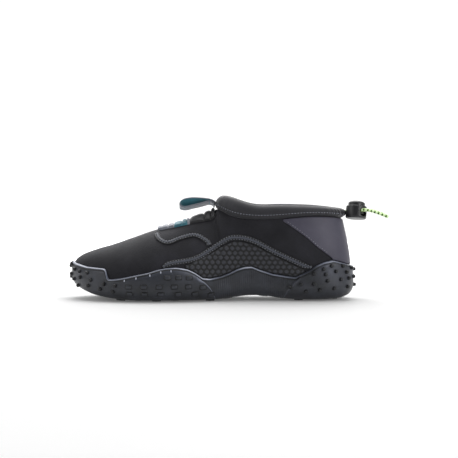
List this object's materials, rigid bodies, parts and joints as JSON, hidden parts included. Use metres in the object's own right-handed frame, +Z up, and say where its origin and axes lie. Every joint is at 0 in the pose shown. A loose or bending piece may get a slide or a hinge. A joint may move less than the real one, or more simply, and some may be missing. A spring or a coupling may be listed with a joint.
{
  "type": "water shoe",
  "caption": "Slip-on neoprene water shoe with a studded rubber outsole, drawcord collar, cord lock and pull loop.",
  "frame": {"origin": "middle of the shoe's footprint box without the free cord, on the floor", "axes": "-X towards the toe, -Y towards the outer side of the foot, +Z up"},
  "size_m": [0.3176, 0.1028, 0.1029],
  "materials": {
    "outsole_rubber": "matte, with brighter edges",
    "upper_neoprene": "matte knit over foam",
    "insole_foam": "matte",
    "collar_knit": "matte stretch knit",
    "heel_counter_film": "satin film",
    "side_panel_film": "embossed film",
    "binding_tape": "stitched tape",
    "loop_webbing": "woven tape",
    "strip_rubber": "matte",
    "drawcord_fibre": "braided",
    "lock_plastic": "satin"
  },
  "bodies": {
    "shoe": {"outsole": "outsole_rubber", "upper": "upper_neoprene", "insole": "insole_foam", "collar_cuff": "collar_knit", "heel_counter": "heel_counter_film", "side_panel_outer": "side_panel_film", "side_panel_inner": "side_panel_film", "side_binding_outer": "binding_tape", "side_binding_inner": "binding_tape", "vamp_binding_outer": "binding_tape", "vamp_binding_inner": "binding_tape", "instep_strip": "strip_rubber", "pull_loop": "loop_webbing", "lock_barrel": "lock_plastic", "drawcord_outer": "drawcord_fibre", "drawcord_inner": "drawcord_fibre"},
    "button": {"lock_button": "lock_plastic"}
  },
  "joints": [
    {"name": "button_press", "type": "slide", "parent": "shoe", "child": "button", "axis": [-0.0687, -0.1736, -0.9824], "range_m": [0, 0.0025], "stiffness_N_per_m": 500, "springref_m": -0.004}
  ]
}
